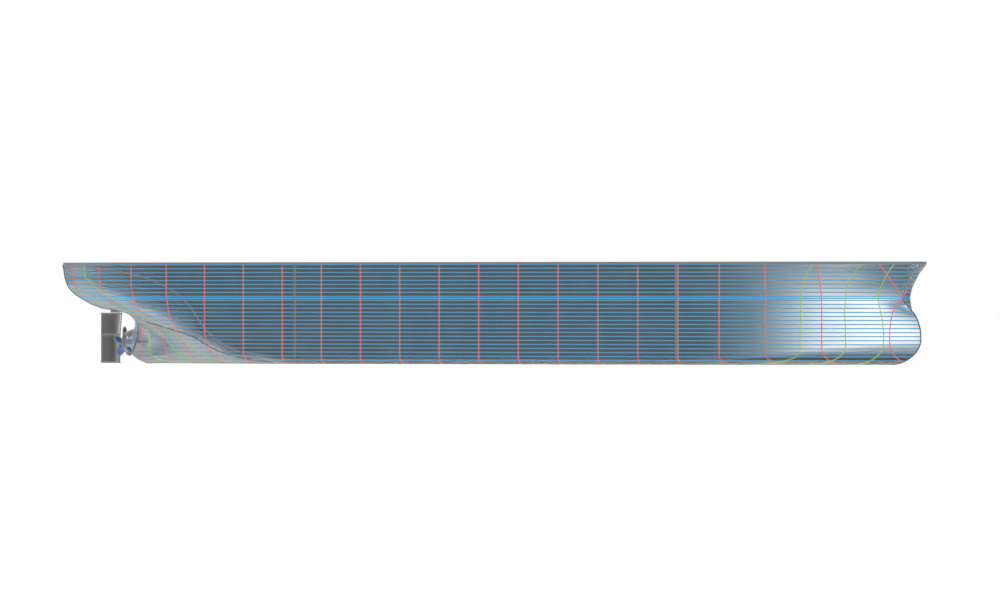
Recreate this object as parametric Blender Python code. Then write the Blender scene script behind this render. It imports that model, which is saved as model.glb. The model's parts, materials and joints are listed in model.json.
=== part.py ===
"""Bulk carrier hull, scale model at 1:10.

Metres, +X to the bow, +Y to port, +Z up. The origin is amidships on the centreline, at the flat of
the keel. Every x below is measured from the aft perpendicular, where the rudder turns, and the empty
called aft_perpendicular carries it to its place. One metre here is ten metres on the ship.
"""

import math

import bmesh
import bpy
from mathutils import Vector

# Main dimensions
HALF_BEAM = 2.25
DECK_TOP = 2.55
DECK_THICK = 0.04
DESIGN_DRAUGHT = 1.65
TRANSOM_X = -0.47
BULB_X = 28.62
RUN_END_X = 8.85        # the parallel middle body starts here
ENTRANCE_X = 22.33      # and ends here
AP_X = -(TRANSOM_X + BULB_X) / 2
GAP = 0.0003            # between pieces that touch
BAR = 0.004             # half width of the bar at the stem, the keel's ends and the counter

# Transverse bulkheads, where one hull block meets the next
STERN_X = 1.4
ENGINE_ROOM_X = 4.2
FORE_PEAK_X = 26.6
SKEG_TOP = 1.2
BLOCK_TOP = DECK_TOP - DECK_THICK - GAP
CLEAR_X = 28.7          # ahead of the whole hull

# Propeller and shaft
SHAFT_Z = 0.53
PROPELLER_X = 0.40
PROPELLER_R = 0.405
BLADES = 5
PITCH_RATIO = 0.75
ROOT_CHORD = 0.10
MIDDLE_CHORD = 0.21
TIP_CHORD = 0.05
ROOT_THICK = 0.036
TIP_THICK = 0.006
BLADE_SHARES = (0.12, 0.25, 0.4, 0.55, 0.7, 0.82, 0.92, 0.97, 1.0)
BLADE_STEPS = 12
HUB_R = 0.075
HUB_FORE = 0.475
HUB_AFT = 0.325
HUB_CAP = ((0.275, 0.018), (0.285, 0.045), (0.30, 0.060), (HUB_AFT - GAP, 0.070))   # x, radius
SHAFT_R = 0.035
SHAFT_END = 0.60
SHAFT_BORE_END = 0.61
BOSS_R = 0.11
BOSS_AFT = 0.50
BOSS_FORE = 1.0
PIN_CLEARANCE = 0.0005
ROUND_STEPS = 32

# Duct
DUCT_AFT = 0.575
DUCT_FORE = 0.71
DUCT_R_AFT = 0.272
DUCT_R_FORE = 0.292
DUCT_Z = 0.545
DUCT_THICK = 0.26       # as a share of the chord
DUCT_STEPS = 40
DUCT_SECTION_STEPS = 12
FIN_STATIONS = (0.61, 0.65)
FIN_THICK = 0.014
FIN_SEAT = 0.0006
BRACKET_LEVELS = (0.7, 0.76, 0.82)

# Rudder
RUDDER_TRAIL = -0.445
RUDDER_BOTTOM = 0.006
RUDDER_SEAM = 0.73
RUDDER_TOP = 1.285
RUDDER_THICK = 0.115
TRAIL_HALF = 0.002
LEADING_EDGE = ((0.0, 0.225), (0.6, 0.225), (0.9, 0.255), (1.25, 0.290))   # z, x
FOIL_STEPS = 14
STOCK_R = 0.032
STOCK_TOP = 1.34
HEADBOX_GAP = 0.006
HEADBOX_STATIONS = (-0.04, 0.02, 0.08, 0.14, 0.20)
HEADBOX_HALF = 0.055
HEADBOX_SEAT = 0.0008

# Offsets of the run, as half breadths in metres at the stations named in the first line. Each row is
# one waterline: its height, the x where it closes on the centreline, then one half breadth a station.
# A 0 means that the waterline doesn't reach so far aft.
STATIONS = (-0.47, 0.0, 0.7, 1.4, 2.8, 4.2, 5.6, 7.0)
WATERLINES = (
    (0.000, 0.760, 0, 0, 0, 0.390, 0.750, 1.230, 1.710, 2.240),
    (0.270, 0.720, 0, 0, 0, 0.390, 0.860, 1.420, 1.940, 2.250),
    (0.470, 0.670, 0, 0, 0, 0.390, 0.940, 1.560, 2.110, 2.250),
    (0.670, 0.690, 0, 0, 0, 0.335, 1.010, 1.740, 2.210, 2.250),
    (0.870, 0.775, 0, 0, 0, 0.320, 1.190, 1.910, 2.250, 2.250),
    (1.050, 0.835, 0, 0, 0, 0.380, 1.430, 2.020, 2.250, 2.250),
    (1.200, 0.735, 0, 0, 0, 0.600, 1.670, 2.100, 2.250, 2.250),
    (1.300, 0.400, 0, 0, 0.320, 0.940, 1.790, 2.140, 2.250, 2.250),
    (1.375, -0.100, 0, 0.060, 0.560, 1.140, 1.860, 2.160, 2.250, 2.250),
    (1.425, -0.520, 0.030, 0.200, 0.710, 1.235, 1.900, 2.175, 2.250, 2.250),
    (1.520, -0.800, 0.350, 0.520, 1.000, 1.385, 1.950, 2.190, 2.250, 2.250),
    (1.640, -0.950, 0.640, 0.835, 1.205, 1.565, 2.010, 2.210, 2.250, 2.250),
    (1.780, -1.100, 0.935, 1.110, 1.420, 1.705, 2.050, 2.230, 2.250, 2.250),
    (2.000, -1.300, 1.180, 1.345, 1.590, 1.820, 2.100, 2.230, 2.250, 2.250),
    (2.230, -1.500, 1.275, 1.450, 1.690, 1.875, 2.110, 2.230, 2.250, 2.250),
    (2.500, -1.500, 1.330, 1.480, 1.700, 1.880, 2.110, 2.230, 2.250, 2.250),
)
# The turn of the bilge is a quarter of an ellipse: x, half width, height.
BILGE = (
    (1.40, 0.39, 0.19),
    (2.80, 0.52, 0.23),
    (4.20, 0.54, 0.26),
    (5.60, 0.52, 0.25),
    (7.00, 0.54, 0.29),
    (8.40, 0.22, 0.20),
    (8.85, 0.20, 0.20),
    (22.33, 0.20, 0.20),
    (23.80, 0.44, 0.22),
    (25.20, 0.75, 0.27),
    (26.60, 0.87, 0.40),
    (28.00, 0.91, 0.55),
    (28.63, 0.92, 0.60),
)
# The keel rises to the stern frame: x, height.
KEEL_RISE = ((0.60, 0.30), (0.73, 0.21), (1.00, 0.083), (1.36, 0.0), (2.00, 0.0))
# The entrance is a formula. The half breadth of a waterline is
# HALF_BEAM * (1 - s ** fullness) ** (1 / bluntness), where s runs from 0 at ENTRANCE_X to 1 at the stem.
# Each row is one waterline: its height, the x of the stem, fullness, bluntness.
ENTRANCE = (
    (0.000, 28.63, 3.00, 0.83),
    (0.780, 28.63, 3.00, 0.83),
    (1.000, 28.57, 3.05, 0.84),
    (1.200, 28.46, 3.10, 0.88),
    (1.365, 28.28, 3.00, 1.03),
    (1.530, 28.07, 2.70, 1.33),
    (1.650, 28.00, 2.52, 1.50),
    (1.840, 28.05, 2.62, 1.44),
    (2.200, 28.26, 2.52, 1.52),
    (2.500, 28.43, 2.21, 1.91),
)


def column(rows, n):
    """One named column of a table."""
    return [row[n] for row in rows]


def smooth(xs, ys, x):
    """The monotone cubic through the points (xs, ys), read at x and held level past its ends."""
    if x <= xs[0]:
        return ys[0]
    if x >= xs[-1]:
        return ys[-1]
    steps = [b - a for a, b in zip(xs, xs[1:])]
    rises = [(b - a) / h for a, b, h in zip(ys, ys[1:], steps)]
    slopes = [rises[0]]
    for h0, h1, r0, r1 in zip(steps, steps[1:], rises, rises[1:]):
        w0, w1 = 2 * h1 + h0, h1 + 2 * h0
        slopes.append((w0 + w1) / (w0 / r0 + w1 / r1) if r0 * r1 > 0 else 0.0)
    slopes.append(rises[-1])
    i = max(k for k, start in enumerate(xs[:-1]) if start < x)
    h = steps[i]
    t = (x - xs[i]) / h
    level = (1 + 2 * t) * (1 - t) ** 2 * ys[i] + t * t * (3 - 2 * t) * ys[i + 1]
    return level + t * (1 - t) ** 2 * h * slopes[i] + t * t * (t - 1) * h * slopes[i + 1]


def run_breadth(x, z):
    """Half breadth of the run, before the turn of the bilge is taken off."""
    heights = column(WATERLINES, 0)
    end = smooth(heights, column(WATERLINES, 1), z)
    share = (x - end) / (RUN_END_X - end)
    if share <= 0:
        return 0.0
    breadths = []
    for row in WATERLINES:
        close = row[1]
        knots = [(0.0, 0.0)]
        for station, breadth in zip(STATIONS, row[2:]):
            if breadth > 0 and station > close:
                knots.append((math.sqrt(station - close), breadth))
        knots.append((math.sqrt(RUN_END_X - close), HALF_BEAM))
        reach = math.sqrt(share * (RUN_END_X - close))
        breadths.append(smooth(column(knots, 0), column(knots, 1), reach))
    return smooth(heights, breadths, z)


def entrance_breadth(x, z):
    """Half breadth of the entrance, before the turn of the bilge is taken off."""
    heights = column(ENTRANCE, 0)
    stem, fullness, bluntness = (smooth(heights, column(ENTRANCE, n), z) for n in (1, 2, 3))
    share = (x - ENTRANCE_X) / (stem - ENTRANCE_X)
    if share >= 1:
        return 0.0
    return HALF_BEAM * (1 - share**fullness) ** (1 / bluntness)


def keel_height(x):
    return smooth(column(KEEL_RISE, 0), column(KEEL_RISE, 1), x)


def half_breadth(x, z):
    """Half breadth of the hull at x and height z, never under the bar's half width."""
    if x < RUN_END_X:
        breadth = run_breadth(x, z)
    elif x > ENTRANCE_X:
        breadth = entrance_breadth(x, z)
    else:
        breadth = HALF_BEAM
    stations = column(BILGE, 0)
    width = smooth(stations, column(BILGE, 1), x)
    height = smooth(stations, column(BILGE, 2), x)
    if x < BILGE[0][0]:
        width = breadth
    drop = min(1.0, 1 - (z - keel_height(x)) / height)
    if drop > 0:
        breadth -= width * (1 - math.sqrt(1 - drop * drop))
    return max(BAR, breadth)


def counter_height(x, y=0.0):
    """Height of the counter's bottom at x and half breadth y, by halving."""
    low, high = SKEG_TOP, COUNTER_HIGH
    while high - low > 0.0001:
        middle = (low + high) / 2
        if run_breadth(x, middle) > y:
            high = middle
        else:
            low = middle
    return high


def closing_x(z, full_x, fine_x):
    """The x between full_x and fine_x where the waterline at z comes down to the bar, by halving."""
    while abs(full_x - fine_x) > 0.0002:
        middle = (full_x + fine_x) / 2
        if half_breadth(middle, z) > BAR:
            full_x = middle
        else:
            fine_x = middle
    return full_x


def material(name, colour, roughness, metallic=0.0):
    """A Principled material, made once."""
    found = bpy.data.materials.get(name)
    if found:
        return found
    made = bpy.data.materials.new(name)
    made.use_nodes = True
    made.diffuse_color = (*colour, 1.0)
    shader = made.node_tree.nodes["Principled BSDF"]
    shader.inputs["Base Color"].default_value = (*colour, 1.0)
    shader.inputs["Roughness"].default_value = roughness
    shader.inputs["Metallic"].default_value = metallic
    return made


def hull_paint():
    return material("hull_paint", (0.11, 0.10, 0.095), 0.5)


def deck_paint():
    return material("deck_paint", (0.20, 0.20, 0.20), 0.6)


def rudder_paint():
    return material("rudder_paint", (0.13, 0.13, 0.13), 0.5)


def blade_paint():
    return material("blade_paint", (0.09, 0.22, 0.45), 0.35)


def duct_steel():
    return material("duct_steel", (0.30, 0.30, 0.30), 0.45)


def add_empty(name, location, parent=None):
    empty = bpy.data.objects.new(name, None)
    empty.location = location
    empty.parent = parent
    bpy.context.scene.collection.objects.link(empty)
    return empty


def add_object(name, bm, paint, parent):
    """Closes a bmesh into one object that hangs from its parent."""
    bmesh.ops.recalc_face_normals(bm, faces=bm.faces)
    mesh = bpy.data.meshes.new(name)
    bm.to_mesh(mesh)
    bm.free()
    mesh.materials.append(paint)
    mesh.shade_smooth()
    mesh.set_sharp_from_angle(angle=math.radians(30))
    made = bpy.data.objects.new(name, mesh)
    made.parent = parent
    bpy.context.scene.collection.objects.link(made)
    return made


def loft(name, loops, paint, parent):
    """Joins closed loops of equal length into one solid, with a flat cap at each end."""
    bm = bmesh.new()
    rings = [[bm.verts.new(point) for point in loop] for loop in loops]
    for ring, after in zip(rings, rings[1:]):
        for k in range(len(ring)):
            n = (k + 1) % len(ring)
            bm.faces.new((ring[k], ring[n], after[n], after[k]))
    bm.faces.new(rings[0][::-1])
    bm.faces.new(rings[-1])
    bmesh.ops.triangulate(bm, faces=bm.faces)
    return add_object(name, bm, paint, parent)


def spread(start, end, count):
    """Evenly spaced values from start to end."""
    return [start + (end - start) * k / count for k in range(count + 1)]


# Heights of the waterlines that each end is lofted through, between its bottom and its top
SKEG_LEVELS = (0.001, 0.03, 0.08, 0.14, 0.21, 0.3, 0.42, 0.53, 0.64, *BRACKET_LEVELS, 0.87, 0.96, 1.05, 1.13)
BULB_LEVELS = (0.0, 0.01, 0.03, 0.07, 0.13, 0.22, 0.34, 0.48, 0.65, 0.82, 1.0, 1.2, 1.36, 1.52)
FORE_LEVELS = (1.84, 2.0, 2.2, 2.4)
COUNTER_STATIONS = (-0.3, -0.15, *HEADBOX_STATIONS, 0.32, 0.45, 0.58, 0.7, 0.82, 0.96, 1.1, 1.25)
COUNTER_HIGH = 1.6      # the counter's bottom is nowhere higher, out to the quarter
COUNTER_STEPS = 15
COUNTER_CROWD = 1.35    # over 1 draws the levels down to the bottom
TURN_STEPS = 6
SIDE_STEPS = 11
ENGINE_ROOM_SECTIONS = 8
HOLD_SECTIONS = 6
MIDDLE_HOLDS = 5
END_HOLDS = 2
SKEG_STEPS = 9
BOW_STEPS = 16
DECK_STEPS = 12


def section(x, levels):
    """The closed outline of a transverse section, up the port side and down the starboard side."""
    port = [(x, half_breadth(x, z), z) for z in levels]
    return port + [(x, -y, z) for x, y, z in reversed(port)]


def turn_levels(x):
    """Heights that lie close together at the foot of the turn of the bilge."""
    turn = smooth(column(BILGE, 0), column(BILGE, 2), x)
    return [turn * (1 - math.cos(math.pi / 2 * k / TURN_STEPS)) for k in range(TURN_STEPS + 1)]


def hull_block(name, start, end, sections, parent):
    """A full depth block of the hull between two bulkheads."""
    loops = []
    for x in spread(start + GAP / 2, end - GAP / 2, sections):
        levels = turn_levels(x)
        loops.append(section(x, levels + spread(levels[-1], BLOCK_TOP, SIDE_STEPS)[1:]))
    loft(name, loops, hull_paint(), parent)


def middle_block(name, start, end, parent):
    """A block of the parallel middle body, which is the same all along."""
    ends = (start + GAP / 2, end - GAP / 2)
    loft(name, [section(x, [*turn_levels(x), BLOCK_TOP]) for x in ends], hull_paint(), parent)


def cargo_holds(parent):
    """The nine hold blocks, numbered from the bow. Two lie in the run and two in the entrance."""
    run = spread(ENGINE_ROOM_X, RUN_END_X, END_HOLDS)
    middle = spread(RUN_END_X, ENTRANCE_X, MIDDLE_HOLDS)
    entrance = spread(ENTRANCE_X, FORE_PEAK_X, END_HOLDS)
    edges = run[:-1] + middle + entrance[1:]
    for k, (start, end) in enumerate(zip(edges, edges[1:])):
        name = f"hold_block_{len(edges) - 1 - k}"
        if start >= RUN_END_X and end <= ENTRANCE_X:
            middle_block(name, start, end, parent)
        else:
            hull_block(name, start, end, HOLD_SECTIONS, parent)


def counter_block(parent):
    """The counter over the rudder, with the flat transom. Its levels lie closer together at the bottom."""
    loops = []
    for x in (TRANSOM_X, *COUNTER_STATIONS, STERN_X - GAP / 2):
        low = max(SKEG_TOP, counter_height(x)) + GAP / 2
        shares = [(k / COUNTER_STEPS) ** COUNTER_CROWD for k in range(COUNTER_STEPS + 1)]
        loops.append(section(x, [low + (BLOCK_TOP - low) * share for share in shares]))
    loft("aft_peak_counter", loops, hull_paint(), parent)


def waterline(z, blunt_x, fine_x, count):
    """The closed outline of a waterline, from the flat end at blunt_x round the fine end at fine_x."""
    shares = [1 - (1 - k / count) ** 2 for k in range(count + 1)]
    side = [(blunt_x + (fine_x - blunt_x) * share) for share in shares]
    port = [(x, half_breadth(x, z), z) for x in side]
    return port + [(x, -y, z) for x, y, z in reversed(port)]


def skeg_block(parent):
    """The fine skeg below the counter, with the boss that the shaft leaves through."""
    blunt = STERN_X - GAP / 2
    levels = (*SKEG_LEVELS, SKEG_TOP - GAP / 2)
    loops = [waterline(z, blunt, closing_x(z, blunt, BOSS_AFT), SKEG_STEPS) for z in levels]
    skeg = loft("stern_skeg", loops, hull_paint(), parent)
    add_union(skeg, turned("boss_form", [(BOSS_AFT, BOSS_R), (BOSS_FORE, BOSS_R)], parent))
    bore = SHAFT_R + PIN_CLEARANCE
    add_cut(skeg, turned("shaft_bore", [(PROPELLER_X, bore), (SHAFT_BORE_END, bore)], parent))


def bow_blocks(parent):
    """The bulbous bow up to the design waterline, and the fore peak above it."""
    parts = (
        ("bulbous_bow", (*BULB_LEVELS, DESIGN_DRAUGHT - GAP / 2)),
        ("fore_peak", (DESIGN_DRAUGHT + GAP / 2, *FORE_LEVELS, BLOCK_TOP)),
    )
    blunt = FORE_PEAK_X + GAP / 2
    for name, levels in parts:
        loops = [waterline(z, blunt, closing_x(z, blunt, CLEAR_X), BOW_STEPS) for z in levels]
        loft(name, loops, hull_paint(), parent)


def deck_plates(parent):
    """The level main deck in three lengths, as wide as the hull at its edge."""
    tip = closing_x(DECK_TOP, FORE_PEAK_X, CLEAR_X)
    run = spread(ENGINE_ROOM_X + GAP / 2, RUN_END_X, DECK_STEPS // 2)
    entrance = spread(ENTRANCE_X, FORE_PEAK_X - GAP / 2, DECK_STEPS // 2)
    fore = [point[0] for point in waterline(DECK_TOP, FORE_PEAK_X + GAP / 2, tip, BOW_STEPS)]
    lengths = (
        ("deck_aft", spread(TRANSOM_X, ENGINE_ROOM_X - GAP / 2, DECK_STEPS)),
        ("deck_midships", run + entrance),
        ("deck_fore", fore[: BOW_STEPS + 1]),
    )
    for name, xs in lengths:
        loops = []
        for z in (DECK_TOP - DECK_THICK, DECK_TOP):
            port = [(x, half_breadth(x, DECK_TOP), z) for x in xs]
            loops.append(port + [(x, -y, z) for x, y, z in reversed(port)])
        loft(name, loops, deck_paint(), parent)


def turned(name, profile, parent):
    """A steel solid turned about the line of the shaft. The profile is a list of x and radius."""
    away = Vector((PROPELLER_X, 0.0, SHAFT_Z)) if parent.name == "propeller_centre" else Vector()
    bm = bmesh.new()
    rings = []
    for x, radius in profile:
        ring = []
        for k in range(ROUND_STEPS):
            angle = math.tau * k / ROUND_STEPS
            point = Vector((x, radius * math.cos(angle), SHAFT_Z + radius * math.sin(angle)))
            ring.append(bm.verts.new(point - away))
        rings.append(ring)
    for ring, after in zip(rings, rings[1:]):
        for k in range(ROUND_STEPS):
            n = (k + 1) % ROUND_STEPS
            bm.faces.new((ring[k], ring[n], after[n], after[k]))
    bm.faces.new(rings[0][::-1])
    bm.faces.new(rings[-1])
    return add_object(name, bm, duct_steel(), parent)


def upright(name, low, high, radius, paint, parent):
    """A vertical cylinder on the aft perpendicular."""
    bm = bmesh.new()
    sizes = {"radius1": radius, "radius2": radius, "depth": high - low}
    bmesh.ops.create_cone(bm, cap_ends=True, segments=ROUND_STEPS, **sizes)
    bmesh.ops.translate(bm, verts=bm.verts, vec=(0.0, 0.0, (low + high) / 2))
    return add_object(name, bm, paint, parent)


def hide_tool(tool):
    tool.hide_render = True
    tool.display_type = "WIRE"


def add_boolean(target, tool, operation):
    cut = target.modifiers.new(tool.name, "BOOLEAN")
    cut.operation = operation
    cut.solver = "EXACT"
    cut.object = tool
    hide_tool(tool)


def add_union(target, tool):
    add_boolean(target, tool, "UNION")


def add_cut(target, tool):
    add_boolean(target, tool, "DIFFERENCE")


def duct(parent):
    """The ring ahead of the propeller, wider at its leading edge, with the fins that carry it."""
    chord = DUCT_FORE - DUCT_AFT
    outline = []
    for k in range(DUCT_SECTION_STEPS):
        angle = math.tau * k / DUCT_SECTION_STEPS
        along = (1 - math.cos(angle)) / 2
        thick = DUCT_THICK / 2 * chord * math.sin(angle) * math.sqrt(along)
        outline.append((DUCT_AFT + chord * along, DUCT_R_AFT + (DUCT_R_FORE - DUCT_R_AFT) * along + thick))
    bm = bmesh.new()
    rings = []
    for n in range(DUCT_STEPS):
        turn = math.tau * n / DUCT_STEPS
        y, z = math.cos(turn), math.sin(turn)
        rings.append([bm.verts.new((x, r * y, DUCT_Z + r * z)) for x, r in outline])
    for n, ring in enumerate(rings):
        after = rings[(n + 1) % len(rings)]
        for k in range(len(ring)):
            m = (k + 1) % len(ring)
            bm.faces.new((ring[k], ring[m], after[m], after[k]))
    ring = add_object("duct_ring", bm, duct_steel(), parent)
    for side, sign in (("port", 1), ("starboard", -1)):
        loops = []
        for z in (SHAFT_Z - FIN_THICK / 2, SHAFT_Z + FIN_THICK / 2):
            inner = [(x, BOSS_R + FIN_SEAT) for x in FIN_STATIONS]
            outer = [(x, DUCT_R_AFT) for x in reversed(FIN_STATIONS)]
            loops.append([(x, sign * y, z) for x, y in inner + outer])
        add_union(ring, loft(f"fin_form_{side}", loops, duct_steel(), parent))
    heights = (SHAFT_Z + BOSS_R + FIN_SEAT, *BRACKET_LEVELS)
    fore = [(closing_x(z, STERN_X, BOSS_AFT) - FIN_SEAT, z) for z in heights]
    aft = [(FIN_STATIONS[0], z) for z in (heights[-1], heights[0])]
    loops = [[(x, y, z) for x, z in fore + aft] for y in (-FIN_THICK / 2, FIN_THICK / 2)]
    add_union(ring, loft("bracket_form", loops, duct_steel(), parent))


def foil(x_trail, x_lead, thickness, z):
    """A closed symmetrical foil outline at height z, with a blunt trailing edge."""
    side = []
    for k in range(FOIL_STEPS + 1):
        s = (1 - math.cos(math.pi * k / FOIL_STEPS)) / 2
        shape = 0.2969 * math.sqrt(s) - 0.126 * s - 0.3516 * s**2 + 0.2843 * s**3 - 0.1015 * s**4
        side.append((x_lead + (x_trail - x_lead) * s, max(5 * thickness * shape, TRAIL_HALF), z))
    return side + [(x, -y, z) for x, y, z in reversed(side)]


def leading_edge(z):
    """The rudder's leading edge is upright below the seam and rakes forward above it."""
    return smooth(column(LEADING_EDGE, 0), column(LEADING_EDGE, 1), z)


def rudder(parent):
    """Two foil blades on one stock."""
    parts = (
        ("rudder_blade_lower", (RUDDER_BOTTOM, 0.4, 0.6, RUDDER_SEAM - GAP / 2)),
        ("rudder_blade_upper", (RUDDER_SEAM + GAP / 2, 0.9, 1.1, RUDDER_TOP)),
    )
    for name, heights in parts:
        loops = [foil(RUDDER_TRAIL, leading_edge(z), RUDDER_THICK, z) for z in heights]
        loft(name, loops, rudder_paint(), parent)
    upright("rudder_stock", RUDDER_TOP + GAP, STOCK_TOP, STOCK_R, duct_steel(), parent)


def headbox(parent):
    """The fixed box under the counter that the rudder stock turns in."""
    bottom = RUDDER_TOP + HEADBOX_GAP
    loops = []
    for x in HEADBOX_STATIONS:
        port = [(x, HEADBOX_HALF, bottom)]
        for y in (HEADBOX_HALF, HEADBOX_HALF / 2, BAR):
            port.append((x, y, counter_height(x, y) - HEADBOX_SEAT))
        loops.append(port + [(x, -y, z) for x, y, z in reversed(port)])
    box = loft("rudder_headbox", loops, rudder_paint(), parent)
    radius = STOCK_R + PIN_CLEARANCE
    add_cut(box, upright("stock_bore", RUDDER_TOP, STOCK_TOP + 0.1, radius, rudder_paint(), parent))


def blade_chord(share):
    """Chord of a propeller blade at a share of the way from the shaft's line to the tip."""
    if share == BLADE_SHARES[-1]:
        return TIP_CHORD
    return ROOT_CHORD + (MIDDLE_CHORD - ROOT_CHORD) * math.sin(math.pi * share**1.2)


def propeller_blade(name, angle, cutter, parent):
    """A twisted blade, lofted outwards from inside the hub, which is then cut away with its clearance."""
    loops = []
    for share in BLADE_SHARES:
        radius = PROPELLER_R * share
        pitch = math.atan2(PITCH_RATIO * 2 * PROPELLER_R, math.tau * radius)
        thick = ROOT_THICK + (TIP_THICK - ROOT_THICK) * share
        loop = []
        for n in range(BLADE_STEPS):
            turn = math.tau * n / BLADE_STEPS
            along = blade_chord(share) / 2 * math.cos(turn)
            across = thick / 2 * math.sin(turn)
            x = along * math.sin(pitch) + across * math.cos(pitch)
            y = across * math.sin(pitch) - along * math.cos(pitch)
            loop.append((x, y, math.sqrt(max(radius**2 - y**2, (0.5 * radius) ** 2))))
        loops.append(loop)
    blade = loft(name, loops, blade_paint(), parent)
    blade.rotation_euler = (angle, 0.0, 0.0)
    add_cut(blade, cutter)


def propeller(parent):
    """Five blades on a turned hub, with its cap and the shaft that drives it."""
    turned("propeller_hub", [(HUB_AFT, HUB_R), (HUB_FORE, HUB_R)], parent)
    turned("hub_cap", HUB_CAP, parent)
    turned("tail_shaft", [(HUB_FORE + GAP, SHAFT_R), (SHAFT_END, SHAFT_R)], parent)
    cutter = turned("hub_clearance", [(HUB_CAP[0][0], HUB_R + GAP), (BOSS_AFT, HUB_R + GAP)], parent)
    for k in range(BLADES):
        propeller_blade(f"propeller_blade_{k + 1}", math.tau * k / BLADES, cutter, parent)


def build():
    for old in list(bpy.data.objects):
        bpy.data.objects.remove(old, do_unlink=True)
    ship = add_empty("aft_perpendicular", (AP_X, 0.0, 0.0))
    shaft = add_empty("propeller_centre", (PROPELLER_X, 0.0, SHAFT_Z), ship)
    counter_block(ship)
    skeg_block(ship)
    hull_block("engine_room_block", STERN_X, ENGINE_ROOM_X, ENGINE_ROOM_SECTIONS, ship)
    cargo_holds(ship)
    bow_blocks(ship)
    deck_plates(ship)
    headbox(ship)
    duct(ship)
    rudder(ship)
    propeller(shaft)


build()
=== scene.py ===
"""Bulk carrier hull, scale model at 1:10: fair skins, drawn lines and the stern gear.

Metres, +X to the bow, +Y to port, +Z up, with the floor at the flat of the keel. The hull's curves
come from a table of offsets whose x is measured from the aft perpendicular, where the rudder turns.
Every piece is worked out in those coordinates, and add_piece shifts it into the frame.
"""

import json
from bisect import bisect_right
from functools import cache
from math import atan2, ceil, cos, pi, radians, sin, sqrt, tau

import bmesh
import bpy
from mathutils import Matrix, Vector
from mathutils.bvhtree import BVHTree

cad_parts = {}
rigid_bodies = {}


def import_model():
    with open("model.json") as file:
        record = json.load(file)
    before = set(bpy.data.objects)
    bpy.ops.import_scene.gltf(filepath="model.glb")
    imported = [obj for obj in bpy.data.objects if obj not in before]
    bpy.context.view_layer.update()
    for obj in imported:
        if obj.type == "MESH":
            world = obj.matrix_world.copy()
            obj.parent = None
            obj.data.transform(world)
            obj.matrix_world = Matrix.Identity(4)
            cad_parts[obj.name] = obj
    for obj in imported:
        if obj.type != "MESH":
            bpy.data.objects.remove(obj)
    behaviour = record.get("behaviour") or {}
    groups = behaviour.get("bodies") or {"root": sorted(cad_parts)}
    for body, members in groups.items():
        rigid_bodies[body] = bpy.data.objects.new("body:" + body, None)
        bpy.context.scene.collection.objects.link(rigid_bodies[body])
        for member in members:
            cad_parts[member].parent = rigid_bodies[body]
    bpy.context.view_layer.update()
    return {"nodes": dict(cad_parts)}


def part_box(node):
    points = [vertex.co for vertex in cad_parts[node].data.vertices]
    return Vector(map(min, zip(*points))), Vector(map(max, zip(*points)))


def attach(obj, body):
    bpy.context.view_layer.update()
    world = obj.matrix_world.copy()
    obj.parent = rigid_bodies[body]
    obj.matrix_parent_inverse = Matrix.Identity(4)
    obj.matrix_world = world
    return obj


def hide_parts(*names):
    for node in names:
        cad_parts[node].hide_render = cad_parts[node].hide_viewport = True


bl_info = {
    "name": "Bulk Carrier Hull",
    "version": (1, 0, 0),
    "blender": (4, 5, 0),
    "location": "View3D > Sidebar > Hull",
    "description": "Builds a drawn bulk carrier hull form with its rudder, propeller and duct",
    "category": "Add Mesh",
}

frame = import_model()


def middle_of(node):
    """The middle of a node's box."""
    low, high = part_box(node)
    return [(a + b) / 2 for a, b in zip(low, high)]


def ends_of(node):
    """The aft and fore ends of a node, with x from the aft perpendicular."""
    return [corner[0] - AP_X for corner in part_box(node)]


# Places taken from the frame
AP_X = middle_of("rudder_stock")[0]     # of the aft perpendicular
TRANSOM_X = ends_of("aft_peak_counter")[0]
DECK_LOW, DECK_TOP = (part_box("deck_midships")[n][2] for n in (0, 1))
HALF_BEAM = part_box("deck_midships")[1][1]
SHAFT_Z = middle_of("propeller_hub")[2]
HUB_AFT, HUB_FORE = ends_of("propeller_hub")
HUB_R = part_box("propeller_hub")[1][1]
CAP_AFT = ends_of("hub_cap")[0]
SHAFT_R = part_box("tail_shaft")[1][1]
SHAFT_END = ends_of("tail_shaft")[1]
PROPELLER_X = (HUB_AFT + HUB_FORE) / 2
PROPELLER_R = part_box("propeller_blade_1")[1][2] - SHAFT_Z
DUCT_AFT, DUCT_FORE = ends_of("duct_ring")
RUDDER_TRAIL = ends_of("rudder_blade_lower")[0]
RUDDER_BOTTOM, RUDDER_SEAM = (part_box("rudder_blade_lower")[n][2] for n in (0, 1))
RUDDER_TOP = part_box("rudder_blade_upper")[1][2]
STOCK_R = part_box("rudder_stock")[1][1]
STOCK_LOW, STOCK_TOP = (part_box("rudder_stock")[n][2] for n in (0, 1))
HEADBOX_AFT, HEADBOX_FORE = ends_of("rudder_headbox")
HEADBOX_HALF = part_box("rudder_headbox")[1][1]
HEADBOX_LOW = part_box("rudder_headbox")[0][2]

# Main dimensions of the hull, as on the model
DESIGN_DRAUGHT = 1.65
RUN_END_X = 8.85        # the parallel middle body starts here
ENTRANCE_X = 22.33      # and ends here
STERN_X = 1.4           # the counter and the skeg lie aft of this
FORE_PEAK_X = 26.6      # and the bow ahead of this
SKEG_TOP = 1.2
HEEL_X = 0.73           # the stern frame meets the keel here
KEEL_X = 1.36           # and the keel is level from here forward
CLEAR_X = 28.7          # ahead of the whole hull
BAR = 0.004             # half width of the bar at the stem and the counter
GAP = 0.0003            # between pieces that touch
COUNTER_HIGH = 1.7      # the counter's bottom lies under this height
SKEG_START = 0.001      # the lowest row of the skeg's skin
SKEG_FOOT = 0.24        # the skin's rows lie closer together under these heights
BOW_FOOT = 0.62
CLOSE = 0.0001          # how near halve comes to its answer

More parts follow.
